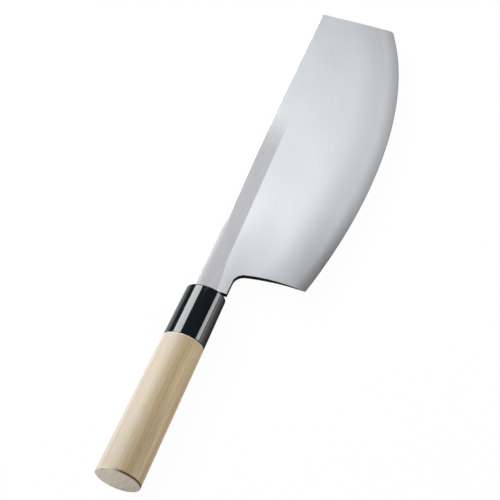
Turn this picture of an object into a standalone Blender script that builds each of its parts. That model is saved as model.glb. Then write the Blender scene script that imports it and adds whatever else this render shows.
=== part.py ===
"""Sushi knife with a round cutting edge and an oval wooden handle.

The knife lies on its left side. The origin is the centre of the handle's butt face, +Y runs
along the handle to the blade's blunt end, +X runs from the spine to the cutting edge, and
+Z leaves the blade's right face. The blade is forged from a hard core between two soft iron
claddings, all three of which run on into the tang. The handle is a magnolia body whose tenon
goes through a horn ferrule, with a plug of resin round the tang at the ferrule's mouth.
All lengths are in metres.
"""

import math

import bmesh
import bpy
from mathutils import Vector

# Handle body, measured along the knife from the butt
WOOD_LENGTH = 0.103
BUTT_WIDTH = 0.0296
BUTT_THICKNESS = 0.0243
JOINT_WIDTH = 0.0280
JOINT_THICKNESS = 0.0224
BUTT_EASE = 0.0010

# Ferrule and what it holds
FERRULE_LENGTH = 0.040
FERRULE_FRONT_WIDTH = 0.0271
FERRULE_FRONT_THICKNESS = 0.0206
FERRULE_CHAMFER = 0.0012
TENON_WIDTH = 0.0180
TENON_THICKNESS = 0.0130
PLUG_LENGTH = 0.0030
PLUG_RECESS = 0.0003

# Tang, from the shoulders back into the wood
TANG_ROOT_HEIGHT = 0.0110
TANG_END_HEIGHT = 0.0070
TANG_END_THICKNESS = 0.0024
TANG_BACK_WOOD = 0.034

# Blade outline, seen from the right face
BLADE_LENGTH = 0.240
NECK_LENGTH = 0.0232
NECK_HEIGHT = 0.0218
NECK_BACK = 0.0091
SPINE_RISE = 0.0025
SPINE_RISE_END = 0.155
HEEL_HEIGHT = 0.0685
TIP_HEIGHT = 0.0540
TIP_ANGLE = math.radians(1.5)
EDGE_ANGLE_AT_HEEL = math.radians(13.3)
EDGE_ANGLE_AT_TIP = math.radians(29.0)
EDGE_PULL_AT_HEEL = 0.0736
EDGE_PULL_AT_TIP = 0.0815
CHOIL_DROP = 0.0033
CHOIL_RADIUS = 0.0075
CHOIL_BOW = 0.0021
HEEL_RADIUS = 0.0008
TIP_EDGE_RADIUS = 0.0022
TIP_SPINE_RADIUS = 0.0010

# Blade grind: thicknesses from face to face, slopes of one face, and places along the blade
# measured from the heel
NECK_THICKNESS = 0.0040
TIP_THICKNESS = 0.0032
FLAT_WIDTH = 0.0123
FLAT_FLARE = 0.0030
FLAT_FLARE_LENGTH = 0.036
FADED_TILT = 0.018
RIDGE_FADE_START = 0.096
RIDGE_FADE_END = 0.142
NECK_SPINE_ROUND = 0.0030
NECK_SPINE_DROP = 0.00012
SPINE_ROUND = 0.0008
SPINE_DROP = 0.00010
SPINE_ROUND_FADE_START = 0.015
SPINE_ROUND_FADE_END = 0.060
RIDGE_SLOPE = 0.021
HOLLOW_RADIUS = 1.5
TURN_START = 0.036
TURN_END = 0.014
TURN_SLOPE = 0.062
ROLL_WIDTH = 0.0085
ROLL_SLOPE = 0.100
EDGE_BEVEL = 0.0006
EDGE_BEVEL_THICKNESS = 0.00018
CORE_THICKNESS = 0.0013

# Fits between the pieces
WELD_LINE = 0.00002
GLUE_LINE = 0.00005
TANG_CLEARANCE = 0.0003
SHOULDER_GAP = 0.0003
EDGE_SHOULDER_GAP = 0.0032

# Facets
OVAL_SIDES = 64
NECK_STATIONS = 4
EDGE_STATIONS = 44
GRIND_STEPS = 14
CORE_STEPS = 7
SPINE_STEPS = 4
HALVINGS = 30
ARC_STEP = math.radians(12)
CHOIL_STEPS = 12
OVERSHOOT = 0.006

# Places along the knife that follow from the sizes
HANDLE_LENGTH = WOOD_LENGTH + FERRULE_LENGTH
TENON_END = HANDLE_LENGTH - PLUG_RECESS - PLUG_LENGTH
SHOULDER_Y = HANDLE_LENGTH + SHOULDER_GAP
EDGE_SHOULDER_Y = HANDLE_LENGTH + EDGE_SHOULDER_GAP
HEEL_Y = HANDLE_LENGTH + NECK_LENGTH
TIP_Y = HEEL_Y + BLADE_LENGTH
TANG_END_Y = TANG_BACK_WOOD


def clear_scene():
    """Start from nothing, so the file holds the knife alone."""
    for leftover in list(bpy.data.objects):
        bpy.data.objects.remove(leftover, do_unlink=True)


def make_material(name, color, roughness, metallic):
    """A plain surface with the piece's colour, roughness and metal value."""
    material = bpy.data.materials.new(name)
    material.use_nodes = True
    shader = material.node_tree.nodes["Principled BSDF"]
    shader.inputs["Base Color"].default_value = (*color, 1.0)
    shader.inputs["Roughness"].default_value = roughness
    shader.inputs["Metallic"].default_value = metallic
    return material


def loft(name, rings, material=None, closed=False):
    """Skin a row of rings with equal point counts, capped at both ends unless it closes on itself."""
    skin = bmesh.new()
    loops = [[skin.verts.new(point) for point in ring] for ring in rings]
    pairs = list(zip(loops, loops[1:]))
    if closed:
        pairs.append((loops[-1], loops[0]))
    for near, far in pairs:
        for i in range(len(near)):
            j = (i + 1) % len(near)
            skin.faces.new((near[i], near[j], far[j], far[i]))
    if not closed:
        skin.faces.new(loops[0])
        skin.faces.new(loops[-1])
    bmesh.ops.recalc_face_normals(skin, faces=skin.faces)
    mesh = bpy.data.meshes.new(name)
    skin.to_mesh(mesh)
    skin.free()
    piece = bpy.data.objects.new(name, mesh)
    bpy.context.collection.objects.link(piece)
    if material:
        mesh.materials.append(material)
    return piece


def shade_round(piece):
    """Smooth the round sides and keep the real corners sharp."""
    piece.data.shade_smooth()
    piece.data.set_sharp_from_angle(angle=math.radians(30))


def cut(piece, tool, operation):
    """Combine a piece with a guide body that is not itself part of the knife."""
    tool.hide_render = True
    tool.display_type = "WIRE"
    boolean = piece.modifiers.new(tool.name, "BOOLEAN")
    boolean.object = tool
    boolean.operation = operation
    boolean.solver = "EXACT"


def oval(width, thickness, y):
    """One elliptical ring across the handle's axis."""
    ring = []
    for i in range(OVAL_SIDES):
        turn = 2 * math.pi * i / OVAL_SIDES
        ring.append(Vector((width / 2 * math.cos(turn), y, thickness / 2 * math.sin(turn))))
    return ring


def oval_inset(width, thickness, inset, y):
    """An oval drawn in by the same distance all round."""
    return oval(width - 2 * inset, thickness - 2 * inset, y)


def tang_thickness(y):
    """The tang thins evenly from the shoulders to its end."""
    share = (y - TANG_END_Y) / (SHOULDER_Y - TANG_END_Y)
    return TANG_END_THICKNESS + (NECK_THICKNESS - TANG_END_THICKNESS) * share


def tang_height(y):
    """The tang narrows evenly from the shoulders to its end."""
    share = (y - TANG_END_Y) / (SHOULDER_Y - TANG_END_Y)
    return TANG_END_HEIGHT + (TANG_ROOT_HEIGHT - TANG_END_HEIGHT) * share


def tang_slot(name):
    """The guide for the burnt-in slot: the tang with its clearance, open at the front."""
    rings = []
    for y in (TANG_END_Y - TANG_CLEARANCE, HANDLE_LENGTH + OVERSHOOT):
        half_height = tang_height(y) / 2 + TANG_CLEARANCE
        half_thickness = tang_thickness(y) / 2 + TANG_CLEARANCE
        corners = ((-1, -1), (1, -1), (1, 1), (-1, 1))
        rings.append([Vector((half_height * a, y, half_thickness * b)) for a, b in corners])
    return loft(name, rings)


def build_handle(material):
    """The oval body with its eased butt and, in one piece with it, the tenon for the ferrule."""
    rings = [
        oval_inset(BUTT_WIDTH, BUTT_THICKNESS, BUTT_EASE, 0),
        oval_inset(BUTT_WIDTH, BUTT_THICKNESS, BUTT_EASE * 0.3, BUTT_EASE * 0.3),
        oval(BUTT_WIDTH, BUTT_THICKNESS, BUTT_EASE),
        oval(JOINT_WIDTH, JOINT_THICKNESS, WOOD_LENGTH),
        oval(TENON_WIDTH, TENON_THICKNESS, WOOD_LENGTH),
        oval(TENON_WIDTH, TENON_THICKNESS, TENON_END),
    ]
    handle = loft("handle", rings, material)
    cut(handle, tang_slot("handle_slot"), "DIFFERENCE")
    shade_round(handle)


def build_ferrule(material):
    """A tapered horn ring with a chamfered mouth, bored right through for the tenon."""
    back = WOOD_LENGTH + GLUE_LINE
    bore = (TENON_WIDTH + 2 * GLUE_LINE, TENON_THICKNESS + 2 * GLUE_LINE)
    front = (FERRULE_FRONT_WIDTH, FERRULE_FRONT_THICKNESS)
    rings = [
        oval(*bore, back),
        oval(JOINT_WIDTH, JOINT_THICKNESS, back),
        oval(*front, HANDLE_LENGTH - FERRULE_CHAMFER),
        oval_inset(*front, FERRULE_CHAMFER * 0.3, HANDLE_LENGTH - FERRULE_CHAMFER * 0.3),
        oval_inset(*front, FERRULE_CHAMFER, HANDLE_LENGTH),
        oval(*bore, HANDLE_LENGTH),
    ]
    shade_round(loft("ferrule", rings, material, closed=True))


def build_plug(material):
    """The resin that closes the ferrule's mouth, poured round the tang."""
    size = (TENON_WIDTH, TENON_THICKNESS)
    front = TENON_END + PLUG_LENGTH
    plug = loft("slot_plug", [oval(*size, TENON_END + GLUE_LINE), oval(*size, front)], material)
    cut(plug, tang_slot("plug_slot"), "DIFFERENCE")
    shade_round(plug)


def ease(share):
    """A smooth step from 0 to 1."""
    share = min(max(share, 0.0), 1.0)
    return share * share * (3 - 2 * share)


def spine_x(y):
    """The spine leaves the neck parallel to the handle and rises a little on its way out."""
    return -NECK_BACK - SPINE_RISE * ease((y - HEEL_Y) / SPINE_RISE_END)


def shinogi_x(y):
    """The line between the flat and the bevel, which flares towards the edge at the neck."""
    flare = FLAT_FLARE * (1 - ease((y - HANDLE_LENGTH) / FLAT_FLARE_LENGTH))
    return spine_x(y) + FLAT_WIDTH + flare


def edge_curve():
    """Corner points of the cutting edge's curve, from the heel to the blade's end."""
    heel = Vector((spine_x(HEEL_Y) + HEEL_HEIGHT, HEEL_Y))
    tip_x = spine_x(TIP_Y) + TIP_HEIGHT
    tip = Vector((tip_x, TIP_Y + tip_x * math.tan(TIP_ANGLE)))
    leave = Vector((math.sin(EDGE_ANGLE_AT_HEEL), math.cos(EDGE_ANGLE_AT_HEEL)))
    arrive = Vector((math.sin(EDGE_ANGLE_AT_TIP), -math.cos(EDGE_ANGLE_AT_TIP)))
    return heel, heel + leave * EDGE_PULL_AT_HEEL, tip + arrive * EDGE_PULL_AT_TIP, tip


def edge_points():
    """The cutting edge as points, carried on straight at both ends to where the outline cuts it."""
    heel, near_heel, near_tip, tip = edge_curve()
    points = [Vector((heel.x, TANG_END_Y - OVERSHOOT))]
    for i in range(NECK_STATIONS):
        points.append(Vector((heel.x, SHOULDER_Y + (HEEL_Y - SHOULDER_Y) * i / NECK_STATIONS)))
    for i in range(EDGE_STATIONS + 1):
        t = i / EDGE_STATIONS
        far = 1 - t
        weights = (far**3, 3 * far**2 * t, 3 * far * t**2, t**3)
        point = Vector((0.0, 0.0))
        for weight, corner in zip(weights, (heel, near_heel, near_tip, tip)):
            point += weight * corner
        points.append(point)
    points.append(tip + (tip - near_tip).normalized() * OVERSHOOT)
    return points


def flat_half_thickness(y):
    """Half the thickness at the spine: even in the neck, tapering to the blade's end and in the tang."""
    if y < SHOULDER_Y:
        return tang_thickness(y) / 2
    share = max(y - HEEL_Y, 0.0) / BLADE_LENGTH
    return (NECK_THICKNESS + (TIP_THICKNESS - NECK_THICKNESS) * share) / 2


def spine_round(y):
    """Width of the spine's rounded corner and its drop, both of which grow towards the neck."""
    past = y - HEEL_Y - SPINE_ROUND_FADE_START
    share = ease(past / (SPINE_ROUND_FADE_END - SPINE_ROUND_FADE_START))
    width = NECK_SPINE_ROUND + (SPINE_ROUND - NECK_SPINE_ROUND) * share
    drop = NECK_SPINE_DROP + (SPINE_DROP - NECK_SPINE_DROP) * share
    return width, drop


def flat_tilt(y):
    """Slope of the flat, which comes to lean with the face towards the blade's end."""
    past = y - HEEL_Y - RIDGE_FADE_START
    return FADED_TILT * ease(past / (RIDGE_FADE_END - RIDGE_FADE_START))


class Grind:
    """The right face at one place along the knife.

    From the spine it has a flat with a rounded corner, then a face a little hollow from a big
    grindstone, which the bench stones turn down towards the edge and roll over in the last
    centimetre, and the narrow bevel that sharpens it.
    """

    def __init__(self, y, edge):
        self.edge = edge
        self.spine = spine_x(y)
        self.shinogi = shinogi_x(y)
        self.flat = flat_half_thickness(y)
        self.tilt = flat_tilt(y)
        self.round, self.drop = spine_round(y)
        self.bevel = EDGE_BEVEL_THICKNESS / 2
        self.width = edge - self.shinogi
        self.ridge = self.flat - self.tilt * (self.shinogi - self.spine)
        self.stretch = (self.ridge - self.bevel) / self.rise(self.width)

    def rise(self, inside):
        """Height that the ground face gains from the bevel to a place this far inside the edge."""
        past = inside - EDGE_BEVEL
        hollow = (self.width * past - (inside**2 - EDGE_BEVEL**2) / 2) / HOLLOW_RADIUS
        share = min(max((TURN_START - inside) / (TURN_START - TURN_END), 0), 1)
        eased = (TURN_START - TURN_END) * (0.5 - share**3 + share**4 / 2)
        turned = min(inside, TURN_END) - EDGE_BEVEL + eased
        near = min(inside, ROLL_WIDTH)
        rolled = near - EDGE_BEVEL - (near**2 - EDGE_BEVEL**2) / (2 * ROLL_WIDTH)
        return RIDGE_SLOPE * past - hollow + TURN_SLOPE * turned + ROLL_SLOPE * rolled

    def flat_height(self, x):
        """Height of the flat, with its rounded corner at the spine."""
        out = x - self.spine
        corner = max(1 - out / self.round, 0)
        return self.flat - self.tilt * out - self.drop * corner**2

    def height(self, x):
        """Distance of the face from the blade's middle plane."""
        if x <= self.shinogi:
            return self.flat_height(x)
        inside = self.edge - x
        if inside <= EDGE_BEVEL:
            return self.bevel * inside / EDGE_BEVEL
        return self.bevel + self.stretch * self.rise(inside)

    def reach(self, height):
        """Where the face comes down to a height: the line at which a layer runs out."""
        near = EDGE_BEVEL
        far = self.width
        for _ in range(HALVINGS):
            middle = (near + far) / 2
            if self.bevel + self.stretch * self.rise(middle) < height:
                near = middle
            else:
                far = middle
        return self.edge - (near + far) / 2


def cladding_section(grind, y, side):
    """One cladding's outline across the knife, from the spine to the line where the core comes out."""
    low = CORE_THICKNESS / 2 + WELD_LINE
    end = grind.reach(low)
    outline = [(grind.spine, low)]
    for i in range(SPINE_STEPS + 1):
        x = grind.spine + grind.round * i / SPINE_STEPS
        outline.append((x, grind.height(x)))
    outline.append((grind.shinogi, grind.ridge))
    for i in range(1, GRIND_STEPS):
        share = 1 - (1 - i / GRIND_STEPS) ** 2
        x = grind.shinogi + (end - grind.shinogi) * share
        outline.append((x, grind.height(x)))
    outline.append((end, low))
    return [Vector((x, y, side * z)) for x, z in outline]


def core_section(grind, y):
    """The core's outline across the knife: a flat plate that comes out and closes at the edge."""
    half = CORE_THICKNESS / 2
    start = grind.reach(half)
    right = [(grind.spine, half), (start, half)]
    for i in range(1, CORE_STEPS + 1):
        x = start + (grind.edge - EDGE_BEVEL - start) * i / CORE_STEPS
        right.append((x, grind.height(x)))
    left = [(x, -z) for x, z in reversed(right)]
    outline = right + [(grind.edge, 0.0)] + left
    return [Vector((x, y, z)) for x, z in outline]


def arc_corner(before, corner, after, radius):
    """Points of the arc that rounds a corner between two straight sides."""
    if radius == 0:
        return [corner]
    back = (before - corner).normalized()
    on = (after - corner).normalized()
    opening = back.angle(on)
    reach = radius / math.tan(opening / 2)
    centre = corner + (back + on).normalized() * radius / math.sin(opening / 2)
    start = corner + back * reach - centre
    sweep = math.pi - opening
    if back.x * on.y - back.y * on.x > 0:
        sweep = -sweep
    steps = max(2, math.ceil(abs(sweep) / ARC_STEP))
    points = []
    for i in range(steps + 1):
        turn = sweep * i / steps
        cosine = math.cos(turn)
        sine = math.sin(turn)
        turned = Vector((start.x * cosine - start.y * sine, start.x * sine + start.y * cosine))
        points.append(centre + turned)
    return points


def choil_corners(neck_corner, heel):
    """Corners along the choil, which bows a little towards the blade's end on its way to the heel."""
    corners = [(neck_corner, CHOIL_RADIUS)]
    for i in range(2, CHOIL_STEPS):
        share = i / CHOIL_STEPS
        point = neck_corner.lerp(heel, share)
        point.y += 4 * CHOIL_BOW * share * (1 - share)
        corners.append((point, 0))
    return corners


def outline_corners():
    """Corners of the blade and tang outline with their radii, anticlockwise from the tang's end.

    Along the spine and the cutting edge it runs outside the metal, which the grind shapes there.
    """
    heel, near_heel, near_tip, tip = edge_curve()
    leave = near_heel - heel
    arrive = near_tip - tip
    across = leave.x * arrive.y - leave.y * arrive.x
    apart = tip - heel
    meet = heel + leave * ((apart.x * arrive.y - apart.y * arrive.x) / across)
    end_half = TANG_END_HEIGHT / 2
    root_half = TANG_ROOT_HEIGHT / 2
    neck_x = spine_x(SHOULDER_Y) + NECK_HEIGHT
    spine_end = Vector((spine_x(TIP_Y), TIP_Y + spine_x(TIP_Y) * math.tan(TIP_ANGLE)))
    outside = spine_x(TIP_Y) - OVERSHOOT
    return [
        (Vector((-end_half, TANG_END_Y)), end_half / 2),
        (Vector((end_half, TANG_END_Y)), end_half / 2),
        (Vector((root_half, SHOULDER_Y)), 0),
        (Vector((root_half, EDGE_SHOULDER_Y)), 0),
        (Vector((neck_x, EDGE_SHOULDER_Y)), 0),
        *choil_corners(Vector((neck_x, HEEL_Y - CHOIL_DROP)), heel),
        (heel, HEEL_RADIUS),
        (meet, 0),
        (tip, TIP_EDGE_RADIUS),
        (spine_end, TIP_SPINE_RADIUS),
        (Vector((outside, TIP_Y - BLADE_LENGTH / 4)), 0),
        (Vector((outside, SHOULDER_Y)), 0),
        (Vector((-root_half, SHOULDER_Y)), 0),
    ]


def outline_prism(name):
    """The guide that cuts a layer to the blade's outline."""
    corners = outline_corners()
    points = []
    for i, (corner, radius) in enumerate(corners):
        before = corners[i - 1][0]
        after = corners[(i + 1) % len(corners)][0]
        points.extend(arc_corner(before, corner, after, radius))
    rings = []
    for z in (-NECK_THICKNESS, NECK_THICKNESS):
        rings.append([Vector((point.x, point.y, z)) for point in points])
    return loft(name, rings)


def build_layer(name, section, material):
    """Forge one layer of the blade to its grind, then cut it to the outline."""
    rings = []
    for point in edge_points():
        rings.append(section(Grind(point.y, point.x), point.y))
    layer = loft(name, rings, material)
    cut(layer, outline_prism(name + "_outline"), "INTERSECT")
    shade_round(layer)


def build_blade(core_steel, soft_iron):
    """The hard core and the two claddings that are forge-welded to it."""
    build_layer("blade_core", core_section, core_steel)
    build_layer("right_cladding", lambda grind, y: cladding_section(grind, y, 1), soft_iron)
    build_layer("left_cladding", lambda grind, y: cladding_section(grind, y, -1), soft_iron)


def build_knife():
    """Make every piece of the knife."""
    clear_scene()
    core_steel = make_material("core_steel", (0.52, 0.52, 0.53), 0.30, 1.0)
    soft_iron = make_material("soft_iron", (0.66, 0.67, 0.69), 0.36, 1.0)
    magnolia = make_material("magnolia_wood", (0.66, 0.54, 0.38), 0.62, 0.0)
    horn = make_material("black_horn", (0.012, 0.013, 0.015), 0.12, 0.0)
    resin = make_material("dark_resin", (0.05, 0.03, 0.02), 0.35, 0.0)
    build_handle(magnolia)
    build_ferrule(horn)
    build_plug(resin)
    build_blade(core_steel, soft_iron)


build_knife()
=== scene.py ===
# %% [markdown]
# # A sushi knife, from plan to polish
#
# This knife has a wide blade with a round cutting edge, an oval handle of pale magnolia wood and a ferrule
# of black horn. Its solids already exist as a CAD model, which is loaded first and never changed. The lesson
# makes a finer copy of each solid in the same place, with rounded rims and real finishes, and lets each copy
# stand for its solid. The pieces lie as the model does: +Y runs from the butt to the blade's blunt end, +X
# from the spine to the cutting edge, and +Z leaves the blade's right face.

import math

import bpy
import numpy as np
from mathutils import Euler, Matrix, Vector
from mathutils.geometry import delaunay_2d_cdt


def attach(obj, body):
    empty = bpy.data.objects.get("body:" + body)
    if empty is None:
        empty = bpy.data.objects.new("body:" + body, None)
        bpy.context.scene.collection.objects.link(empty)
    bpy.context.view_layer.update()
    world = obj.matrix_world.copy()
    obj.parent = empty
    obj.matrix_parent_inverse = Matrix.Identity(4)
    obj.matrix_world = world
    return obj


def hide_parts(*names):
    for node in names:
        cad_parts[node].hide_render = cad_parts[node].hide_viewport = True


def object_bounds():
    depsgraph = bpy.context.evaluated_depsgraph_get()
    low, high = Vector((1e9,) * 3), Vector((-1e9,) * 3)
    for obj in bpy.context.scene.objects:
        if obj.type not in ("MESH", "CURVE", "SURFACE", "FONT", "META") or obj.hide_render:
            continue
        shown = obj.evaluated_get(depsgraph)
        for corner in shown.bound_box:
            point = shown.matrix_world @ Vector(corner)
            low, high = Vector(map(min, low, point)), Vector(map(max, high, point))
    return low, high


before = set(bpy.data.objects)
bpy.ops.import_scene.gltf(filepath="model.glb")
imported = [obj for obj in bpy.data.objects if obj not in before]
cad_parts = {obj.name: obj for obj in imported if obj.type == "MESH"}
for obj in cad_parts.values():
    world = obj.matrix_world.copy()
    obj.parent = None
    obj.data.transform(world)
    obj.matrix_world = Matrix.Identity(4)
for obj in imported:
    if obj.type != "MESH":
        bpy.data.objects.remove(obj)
cad_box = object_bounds()
print("solids in the model:", ", ".join(sorted(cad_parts)))
print("the model's size in mm:", [round((high - low) * 1000, 2) for low, high in zip(*cad_box)])

# %% [markdown]
# ## The sizes of the blade
#
# A smith thinks of a blade as a plan, which is its outline seen from the side, and a grind, which is how
# thick the steel is at each place of that plan. The plan could be traced by hand with a curve, but a blade
# made from numbers is easier to correct, so both are written down here in millimetres. They are the numbers
# of the CAD model, except that the rounded corner of the spine is made a trace softer at the neck.

# %% Sizes along the knife, in millimetres
MM = 0.001
WOOD_LENGTH = 103.0
HANDLE_LENGTH = 143.0
SHOULDER_Y = 143.3
EDGE_SHOULDER_Y = 146.2
NECK_LENGTH = 23.2
BLADE_LENGTH = 240.0
HEEL_Y = HANDLE_LENGTH + NECK_LENGTH
TIP_Y = HEEL_Y + BLADE_LENGTH
TANG_END_Y = 34.0
TANG_ROOT_HEIGHT = 11.0
TANG_END_HEIGHT = 7.0
TANG_END_THICKNESS = 2.4
print(f"heel at {HEEL_Y:.1f} mm and blunt end at {TIP_Y:.1f} mm from the butt")

# %% Sizes across the blade, in millimetres
NECK_BACK = 9.1
NECK_HEIGHT = 21.8
NECK_THICKNESS = 4.0
TIP_THICKNESS = 3.2
SPINE_RISE = 2.5
SPINE_RISE_END = 155.0
FLAT_WIDTH = 12.3
FLAT_FLARE = 3.0
FLAT_FLARE_LENGTH = 36.0
RIDGE_FADE_START = HEEL_Y + 96.0
RIDGE_FADE_END = HEEL_Y + 142.0
FADED_TILT = 0.018
NECK_SPINE_ROUND = 4.0
NECK_SPINE_DROP = 0.066
SPINE_ROUND = 0.8
SPINE_DROP = 0.10
SPINE_FADE_START = HEEL_Y + 24.0
SPINE_FADE_END = HEEL_Y + 60.0
HEEL_HEIGHT = 68.5
TIP_HEIGHT = 54.0
TIP_ANGLE = math.radians(1.5)
RIDGE_SLOPE = 0.021
HOLLOW_RADIUS = 1500.0
TURN_START = 36.0
TURN_END = 14.0
TURN_SLOPE = 0.062
ROLL_WIDTH = 8.5
ROLL_SLOPE = 0.100
EDGE_BEVEL = 0.6
EDGE_BEVEL_HALF = 0.09
CORE_HALF = 0.65
WELD_HALF = 0.67

# %% [markdown]
# ## The lines of the blade
#
# Three long lines give this blade its look. The spine is almost straight. The ridge between the flat beside
# the spine and the ground face runs parallel to it, and flares a little where the neck begins. The cutting
# edge is one long bulging curve, which a single Bezier segment draws well: two end points and two handles.
# Each line is a function that gives x for any y, so every later step can ask where it is.

# %% The spine and the ridge line
def ease(share):
    """A smooth step from 0 to 1."""
    share = np.clip(share, 0.0, 1.0)
    return share * share * (3 - 2 * share)


def between(start, stop, share):
    """A size that lies this share of the way from one to another."""
    return start + (stop - start) * share


def spine_x(y):
    """Where the spine is at a place along the knife."""
    return -NECK_BACK - SPINE_RISE * ease((y - HEEL_Y) / SPINE_RISE_END)


def ridge_x(y):
    """Where the flat beside the spine ends and the ground face begins."""
    flare = FLAT_FLARE * (1 - ease((y - HANDLE_LENGTH) / FLAT_FLARE_LENGTH))
    return spine_x(y) + FLAT_WIDTH + flare


print(f"flat beside the spine: {ridge_x(HEEL_Y) - spine_x(HEEL_Y):.1f} mm wide at the heel")

# %% The cutting edge
EDGE_ANGLE_AT_HEEL = math.radians(13.3)
EDGE_ANGLE_AT_TIP = math.radians(29.0)
EDGE_PULL_AT_HEEL = 73.6
EDGE_PULL_AT_TIP = 81.5
EDGE_STEPS = 240
BEYOND_TIP = 6.0

heel = np.array([spine_x(HEEL_Y) + HEEL_HEIGHT, HEEL_Y])
tip_x = spine_x(TIP_Y) + TIP_HEIGHT
tip = np.array([tip_x, TIP_Y + tip_x * math.tan(TIP_ANGLE)])
leave = np.array([math.sin(EDGE_ANGLE_AT_HEEL), math.cos(EDGE_ANGLE_AT_HEEL)])
arrive = np.array([math.sin(EDGE_ANGLE_AT_TIP), -math.cos(EDGE_ANGLE_AT_TIP)])


def bezier(start, pull_start, pull_end, end, steps):
    """Points along one Bezier segment."""
    t = np.linspace(0, 1, steps + 1)[:, None]
    far = 1 - t
    return far**3 * start + 3 * far**2 * t * pull_start + 3 * far * t**2 * pull_end + t**3 * end


pulls = (heel + leave * EDGE_PULL_AT_HEEL, tip + arrive * EDGE_PULL_AT_TIP)
edge_curve = bezier(heel, *pulls, tip, EDGE_STEPS)
beyond_tip = tip - arrive * BEYOND_TIP
edge_table = np.vstack([edge_curve, beyond_tip])


def edge_x(y):
    """Where the cutting edge is at a place along the knife."""
    return np.interp(y, edge_table[:, 1], edge_table[:, 0])


print(f"widest place: {edge_curve[:, 0].max() - spine_x(TIP_Y):.1f} mm from spine to edge")

# %% [markdown]
# ## The grind
#
# Seen end on, the right face is flat beside the spine. From the ridge it leans towards the edge, a little
# hollow as a big grindstone leaves it. In the last 36 mm the stones turn it down, in the last centimetre it
# rolls over more, and it closes in the narrow bevel that cuts. Towards the blunt end the ridge fades out,
# because the flat there leans as much as the face. Nobody sees these few hundredths of a millimetre as a
# shape, but polished steel shows them as light and shade. A sculpted mesh would only come near, so a height
# function adds up the slopes, and is stretched to meet the thickness at the ridge.

# %% Half the thickness from the spine to the ridge
def flat_half(y):
    """Half the thickness at the spine, which thins towards the blunt end and in the tang."""
    tang_share = (y - TANG_END_Y) / (SHOULDER_Y - TANG_END_Y)
    tang = between(TANG_END_THICKNESS, NECK_THICKNESS, tang_share)
    blade = between(NECK_THICKNESS, TIP_THICKNESS, np.maximum(y - HEEL_Y, 0) / BLADE_LENGTH)
    return np.where(y < SHOULDER_Y, tang, blade) / 2


def flat_tilt(y):
    """How steeply the strip beside the spine leans towards the edge."""
    return FADED_TILT * ease((y - RIDGE_FADE_START) / (RIDGE_FADE_END - RIDGE_FADE_START))


def spine_corner(x, y):
    """How far the rounded corner at the spine falls below the flat. It is widest at the neck."""
    share = ease((y - SPINE_FADE_START) / (SPINE_FADE_END - SPINE_FADE_START))
    width = between(NECK_SPINE_ROUND, SPINE_ROUND, share)
    drop = between(NECK_SPINE_DROP, SPINE_DROP, share)
    return drop * np.clip(1 - (x - spine_x(y)) / width, 0, 1) ** 2


# %% Height of the ground face
def grind_rise(inside, width):
    """How far the face rises from the cutting bevel to this distance from the edge, before stretching."""
    past = inside - EDGE_BEVEL
    hollow = (width * past - (inside**2 - EDGE_BEVEL**2) / 2) / HOLLOW_RADIUS
    share = np.clip((TURN_START - inside) / (TURN_START - TURN_END), 0, 1)
    turned = np.minimum(inside, TURN_END) - EDGE_BEVEL
    turned = turned + (TURN_START - TURN_END) * (0.5 - share**3 + share**4 / 2)
    near = np.minimum(inside, ROLL_WIDTH)
    rolled = near - EDGE_BEVEL - (near**2 - EDGE_BEVEL**2) / (2 * ROLL_WIDTH)
    return RIDGE_SLOPE * past - hollow + TURN_SLOPE * turned + ROLL_SLOPE * rolled


def ground_height(inside, y):
    """Height of the ground face at a distance from the edge."""
    width = edge_x(y) - ridge_x(y)
    ridge_half = flat_half(y) - flat_tilt(y) * (ridge_x(y) - spine_x(y))
    stretch = (ridge_half - EDGE_BEVEL_HALF) / grind_rise(width, width)
    return EDGE_BEVEL_HALF + stretch * grind_rise(inside, width)


# %% Height of the whole face, and the line where the core comes out
HALVINGS = 30


def face_height(x, y):
    """How far the right face stands above the blade's middle plane."""
    inside = edge_x(y) - x
    flat = flat_half(y) - flat_tilt(y) * (x - spine_x(y)) - spine_corner(x, y)
    bevel = EDGE_BEVEL_HALF * np.maximum(inside, 0) / EDGE_BEVEL
    ground = ground_height(inside, y)
    return np.select([x <= ridge_x(y), inside <= EDGE_BEVEL], [flat, bevel], ground)


def weld_x(y):
    """Where the grind comes down to the hard core and the soft iron runs out, found by halving."""
    near = np.full(np.shape(y), EDGE_BEVEL)
    far = np.full(np.shape(y), TURN_START)
    for _ in range(HALVINGS):
        middle = (near + far) / 2
        above = ground_height(middle, y) > WELD_HALF
        near, far = np.where(above, near, middle), np.where(above, middle, far)
    return edge_x(y) - middle


for y in (180.0, 280.0, 380.0):
    middle = (ridge_x(y) + edge_x(y)) / 2
    print(f"at {y:.0f} mm: spine {2 * flat_half(y):.2f}, middle {2 * face_height(middle, y):.2f} mm thick")
    print(f"  the core is bare for {edge_x(y) - weld_x(y):.1f} mm")

# %% [markdown]
# ## The outline
#
# The outline is the plan's border, walked once round: the blunt end, the spine, the hidden tang that goes
# into the handle, the neck, the choil, which bows gently from the neck to the edge, and the heel. Corners are
# filed round, so each gets an arc between its two straight sides. The cutting edge closes the walk. It is
# kept apart from the rest, because the steel there comes down to nothing while everywhere else it ends in a
# narrow wall.

# %% A filed corner
ARC_STEP = math.radians(9)


def filed_corner(before, corner, after, radius):
    """Points of the arc that rounds a corner between two straight sides."""
    back = Vector(before - corner).normalized()
    on = Vector(after - corner).normalized()
    opening = back.angle(on)
    centre = Vector(corner) + (back + on).normalized() * radius / math.sin(opening / 2)
    start = Vector(corner) + back * radius / math.tan(opening / 2) - centre
    sweep = math.pi - opening
    if back.x * on.y - back.y * on.x > 0:
        sweep = -sweep
    steps = max(2, math.ceil(abs(sweep) / ARC_STEP))
    arc = []
    for i in range(steps + 1):
        turn = sweep * i / steps
        x = start.x * math.cos(turn) - start.y * math.sin(turn)
        y = start.x * math.sin(turn) + start.y * math.cos(turn)
        arc.append((centre.x + x, centre.y + y))
    return arc


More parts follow.
